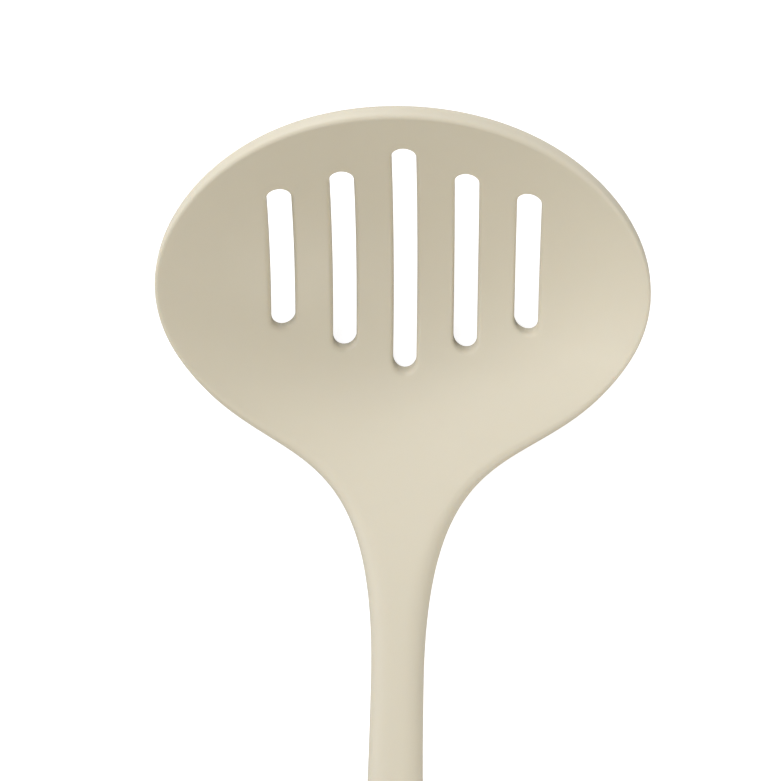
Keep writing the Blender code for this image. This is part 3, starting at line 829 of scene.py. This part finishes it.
def steel_material(grain_tree):
    """Stainless steel strip, brushed along its length."""
    material, shader = grained_material(
        "brushed_steel", grain_tree, stretch=(1.0, 0.02, 1.0), bump_strength=0.15, bump_distance=0.0001,
        values={"Cloud Scale": 300.0, "Grain Scale": 4000.0, "Smoothest": 0.25, "Roughest": 0.42,
                "Light Tone": (0.64, 0.64, 0.63, 1.0), "Deep Tone": (0.56, 0.56, 0.56, 1.0)})
    shader.inputs["Metallic"].default_value = 1.0
    return material


surface_grain = surface_grain_group()
silicone = silicone_material(surface_grain)
skin = made_mesh(flat_sheet(), moulded_skin_tree(), {"Silicone": silicone, **SKIN_SIZES}, "moulded_skin")
finish_mesh(skin, SHARP_ANGLE)
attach(skin, "root")
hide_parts("silicone_skin")

for node_name, material in (
        ("head_insert", nylon_material(surface_grain)), ("handle_strip", steel_material(surface_grain))):
    for material_slot in bpy.data.objects[node_name].material_slots:
        material_slot.material = material


def make_camera():
    """Camera of the photograph: above the bowl, with a long lens."""
    turn = Matrix.Rotation(CAMERA_ROLL, 3, 'Z')
    turn = turn @ Matrix.Rotation(CAMERA_PITCH, 3, 'X')
    turn = turn @ Matrix.Rotation(CAMERA_YAW, 3, 'Y')
    data = bpy.data.cameras.new("photo_camera")
    data.lens = PIXELS_PER_METRE * CAMERA_DISTANCE * data.sensor_width / PHOTO_HEIGHT
    data.clip_start = CAMERA_REACH[0]
    data.clip_end = CAMERA_REACH[1]
    camera = bpy.data.objects.new("photo_camera", data)
    aim = Vector((0.0, HEAD_CENTRE_Y, CAMERA_AIM_HEIGHT))
    placed = turn.transposed().to_4x4()
    placed.translation = aim + turn.transposed() @ Vector((*CAMERA_SHIFT, CAMERA_DISTANCE))
    camera.matrix_world = placed
    bpy.context.scene.collection.objects.link(camera)
    bpy.context.scene.camera = camera


def make_floor():
    """White worktop, a hair under the tool, that stays white to the eye but for the deepest of the shadow."""
    work = bmesh.new()
    bmesh.ops.create_grid(work, x_segments=1, y_segments=1, size=FLOOR_HALF_SIZE)
    mesh = bpy.data.meshes.new("worktop")
    work.to_mesh(mesh)
    work.free()
    material, tree, shader = new_material("white_worktop")
    tree.nodes.remove(shader)
    light_path = add(tree, "ShaderNodeLightPath").outputs
    seen = maths(tree, 'MAXIMUM', light_path["Is Camera Ray"], light_path["Is Transmission Ray"])
    plain = add(tree, "ShaderNodeBsdfDiffuse", {"Color": FLOOR_GREY}).outputs[0]
    glow = add(tree, "ShaderNodeEmission", {"Strength": SEEN_FLOOR_GLOW}).outputs[0]
    shaded = add(tree, "ShaderNodeBsdfDiffuse", {"Color": SEEN_FLOOR_GREY}).outputs[0]
    bright = add(tree, "ShaderNodeAddShader", {0: glow, 1: shaded}).outputs[0]
    mixed = add(tree, "ShaderNodeMixShader", {0: seen, 1: plain, 2: bright}).outputs[0]
    tree.links.new(mixed, tree.nodes["Material Output"].inputs["Surface"])
    mesh.materials.append(material)
    floor = bpy.data.objects.new("worktop", mesh)
    floor.location.z = -FLOOR_GAP
    bpy.context.scene.collection.objects.link(floor)


def make_world():
    """Even white surroundings."""
    world = bpy.data.worlds.new("studio")
    world.use_nodes = True
    bpy.context.scene.world = world
    tree = world.node_tree
    background = tree.nodes["Background"]
    light_path = add(tree, "ShaderNodeLightPath").outputs
    strength = add(
        tree, "ShaderNodeMix",
        {"Factor": light_path["Is Camera Ray"], 2: WORLD_STRENGTH, 3: SEEN_WORLD_STRENGTH},
        data_type='FLOAT').outputs[0]
    tree.links.new(strength, background.inputs["Strength"])
    background.inputs["Color"].default_value = WHITE


def soft_box(name, azimuth, elevation, power, colour):
    """Large square lamp that faces the head of the tool, placed by two angles in degrees."""
    data = bpy.data.lights.new(name, 'AREA')
    data.energy = power
    data.color = colour
    data.size = LAMP_SIZE
    lamp = bpy.data.objects.new(name, data)
    turn = Euler((0.0, math.pi / 2 - math.radians(elevation), math.radians(azimuth))).to_matrix()
    lamp.location = Vector((0.0, HEAD_CENTRE_Y, 0.0)) + turn @ Vector((0.0, 0.0, LAMP_DISTANCE))
    lamp.rotation_euler = turn.to_euler()
    bpy.context.scene.collection.objects.link(lamp)


make_camera()
make_floor()
make_world()
soft_box("key_lamp", azimuth=125.0, elevation=39.0, power=15.5, colour=(0.98, 1.00, 1.03))
soft_box("fill_lamp", azimuth=-64.0, elevation=27.0, power=10.2, colour=(1.00, 0.98, 0.92))
soft_box("left_lamp", azimuth=188.0, elevation=22.0, power=6.6, colour=(1.00, 1.00, 1.00))
soft_box("right_lamp", azimuth=28.0, elevation=20.0, power=6.4, colour=(1.00, 1.00, 1.00))

bpy.context.scene.view_settings.view_transform = 'Standard'
